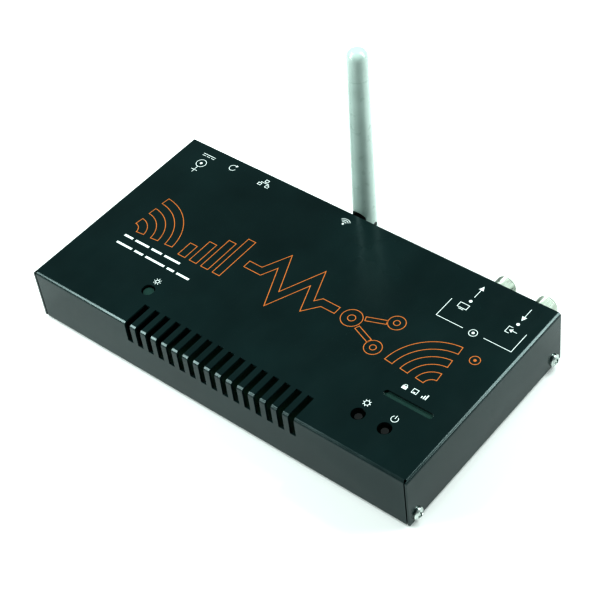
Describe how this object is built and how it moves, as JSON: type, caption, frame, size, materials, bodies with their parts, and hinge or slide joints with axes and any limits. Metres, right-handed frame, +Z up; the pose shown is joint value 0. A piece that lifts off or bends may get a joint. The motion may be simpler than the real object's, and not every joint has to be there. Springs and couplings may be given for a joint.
{
  "type": "cable modem",
  "caption": "Flat rectangular cable modem in a folded black steel case, with air slots over the front edge, rear sockets and a hinged whip antenna.",
  "frame": {"origin": "middle of the case's underside", "axes": "+X along the case to the right seen from the front, +Y to the socket side, +Z up"},
  "size_m": [0.204, 0.1233, 0.1064],
  "materials": {
    "black_steel": "fine satin powder coat",
    "zinc_steel": "bright zinc plate",
    "dark_steel": "blackened",
    "black_rubber": "matt",
    "brass": "turned",
    "circuit_board": "dark green solder mask",
    "chip_black": "moulded epoxy",
    "tin_plate": "tin plated sheet",
    "nickel": "bright nickel plate",
    "gold": "gold flash",
    "capacitor_sleeve": "shrink sleeve",
    "ferrite": "sintered ferrite",
    "black_aluminium": "black anodised",
    "black_plastic": "moulded",
    "white_plastic": "moulded",
    "clear_plastic": "smoked, slightly frosted",
    "antenna_white": "pale satin gloss",
    "cable_black": "smooth jacket"
  },
  "bodies": {
    "case": {"top_cover": "black_steel", "base_tray": "black_steel", "cover_screws": "zinc_steel", "rubber_feet": "black_rubber", "board_standoffs": "brass", "board_screws": "zinc_steel", "main_board": "circuit_board", "modem_processor": "chip_black", "flash_chip": "chip_black", "clock_crystal": "zinc_steel", "wireless_can": "tin_plate", "lan_transformer": "chip_black", "antenna_socket": "gold", "power_regulator": "chip_black", "status_led": "clear_plastic", "memory_chips": "chip_black", "filter_capacitors": "capacitor_sleeve", "power_coils": "ferrite", "processor_heatsink": "black_aluminium", "power_socket": "black_plastic", "power_pin": "tin_plate", "lan_shell": "tin_plate", "lan_insert": "black_plastic", "lan_contacts": "gold", "tuner_can": "tin_plate", "coax_out_barrel": "nickel", "coax_out_insulator": "white_plastic", "coax_out_contact": "gold", "coax_in_barrel": "nickel", "coax_in_insulator": "white_plastic", "coax_in_contact": "gold", "config_switch": "tin_plate", "standby_switch": "tin_plate", "reset_switch": "tin_plate", "status_guide": "clear_plastic", "indicator_leds": "clear_plastic", "indicator_guide": "clear_plastic", "antenna_bushing": "antenna_white", "antenna_washer": "zinc_steel", "antenna_nut": "nickel", "antenna_pigtail": "cable_black"},
    "antenna_swivel": {"antenna_knuckle": "black_plastic", "antenna_clip": "zinc_steel", "hinge_pin": "dark_steel"},
    "antenna": {"antenna_whip": "antenna_white", "antenna_cap": "antenna_white", "antenna_radiator": "brass"},
    "config_button": {"config_plunger": "black_plastic"},
    "standby_button": {"standby_plunger": "black_plastic"},
    "reset_button": {"reset_plunger": "black_plastic"}
  },
  "joints": [
    {"name": "antenna_swivel_turn", "type": "hinge", "parent": "case", "child": "antenna_swivel", "pos_m": [-0.008, 0.052, 0.014], "axis": [0, 1, 0], "range_deg": [-90, 75]},
    {"name": "antenna_tilt", "type": "hinge", "parent": "antenna_swivel", "child": "antenna", "pos_m": [-0.008, 0.062, 0.014], "axis": [-1, 0, 0], "range_deg": [-3, 87]},
    {"name": "config_press", "type": "slide", "parent": "case", "child": "config_button", "axis": [0, 0, -1], "range_m": [0, 0.0003], "stiffness_N_per_m": 800, "springref_m": -0.0005},
    {"name": "standby_press", "type": "slide", "parent": "case", "child": "standby_button", "axis": [0, 0, -1], "range_m": [0, 0.0003], "stiffness_N_per_m": 800, "springref_m": -0.0005},
    {"name": "reset_press", "type": "slide", "parent": "case", "child": "reset_button", "axis": [0, -1, 0], "range_m": [0, 0.0003], "stiffness_N_per_m": 800, "springref_m": -0.0005}
  ]
}
